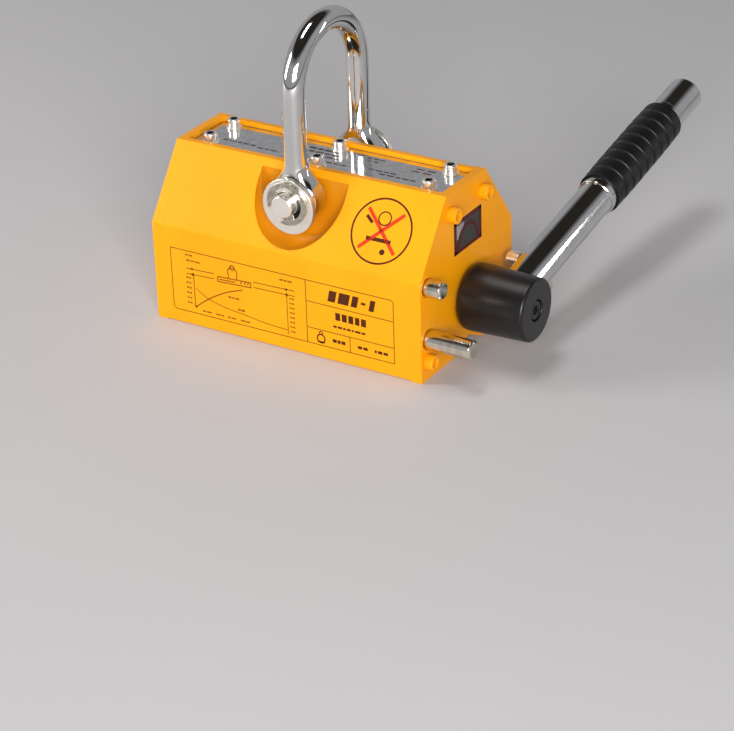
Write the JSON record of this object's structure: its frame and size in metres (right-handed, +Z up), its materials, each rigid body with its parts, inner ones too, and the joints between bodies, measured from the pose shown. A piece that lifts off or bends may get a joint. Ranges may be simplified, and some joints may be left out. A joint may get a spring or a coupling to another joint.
{
  "type": "permanent lifting magnet",
  "caption": "Permanent lifting magnet with a swing-over lever, a spring-locked slide key, a bottom groove for round bar and a hook shackle.",
  "frame": {"origin": "middle of the working face under the body", "axes": "+X along the rotor shaft to the lever hub, +Y to the side where the lever lies when the magnet is off, +Z up to the shackle"},
  "size_m": [0.202, 0.2591, 0.17],
  "materials": {
    "body_paint": "semi-gloss yellow enamel",
    "bright_plate": "ground and lightly polished",
    "chrome": "bright chrome",
    "zinc_steel": "bright zinc plated",
    "turned_steel": "turned, oiled",
    "black_hub": "satin black",
    "black_oxide": "black oxide",
    "grip_rubber": "ribbed, matt",
    "label": "printed foil",
    "bronze": "sintered bronze",
    "brass": "milled",
    "magnet": "nickel plated",
    "nylon": "natural nylon"
  },
  "bodies": {
    "housing": {"front_pole": "body_paint", "rear_pole": "body_paint", "lower_spacer": "brass", "upper_spacer": "brass", "upper_block": "turned_steel", "stator_magnets": "magnet", "top_plate": "bright_plate", "top_screws": "zinc_steel", "top_screw_washers": "zinc_steel", "drive_cover": "body_paint", "blind_cover": "body_paint", "drive_cover_screws": "body_paint", "blind_cover_screws": "body_paint", "drive_bush": "bronze", "blind_bush": "bronze", "thrust_washers": "bronze", "hub_thrust_washer": "nylon", "end_label": "label", "front_stop_pin": "turned_steel", "rear_stop_pin": "turned_steel", "safety_pin": "turned_steel", "shackle_pin": "zinc_steel", "shackle_inner_washers": "zinc_steel", "shackle_friction_washers": "black_oxide", "shackle_outer_washers": "zinc_steel", "shackle_clips": "zinc_steel"},
    "lever": {"rotor_pole_a": "turned_steel", "rotor_pole_b": "turned_steel", "rotor_magnets": "magnet", "rotor_strips": "brass", "drive_flange_shaft": "turned_steel", "blind_flange_shaft": "turned_steel", "rotor_screws": "black_oxide", "hub": "black_hub", "hub_key": "turned_steel", "hub_screw": "black_oxide", "hub_screw_washer": "zinc_steel", "bar_grub_screw": "black_oxide", "handle_bar": "chrome", "bar_plug": "turned_steel", "grip_sleeve": "chrome", "grip": "grip_rubber", "lock_spring": "zinc_steel"},
    "slide_key": {"slide_key": "zinc_steel", "key_shoe": "turned_steel"},
    "shackle": {"shackle": "chrome"}
  },
  "joints": [
    {"name": "lever_turn", "type": "hinge", "parent": "housing", "child": "lever", "pos_m": [0, 0, 0.03], "axis": [1, 0, 0], "range_deg": [0, 159.04]},
    {"name": "key_slide", "type": "slide", "parent": "lever", "child": "slide_key", "axis": [0, 0.9833, 0.1819], "range_m": [0, 0.004]},
    {"name": "shackle_swing", "type": "hinge", "parent": "housing", "child": "shackle", "pos_m": [0, 0, 0.0795], "axis": [0, 1, 0], "range_deg": [-60, 60]}
  ]
}
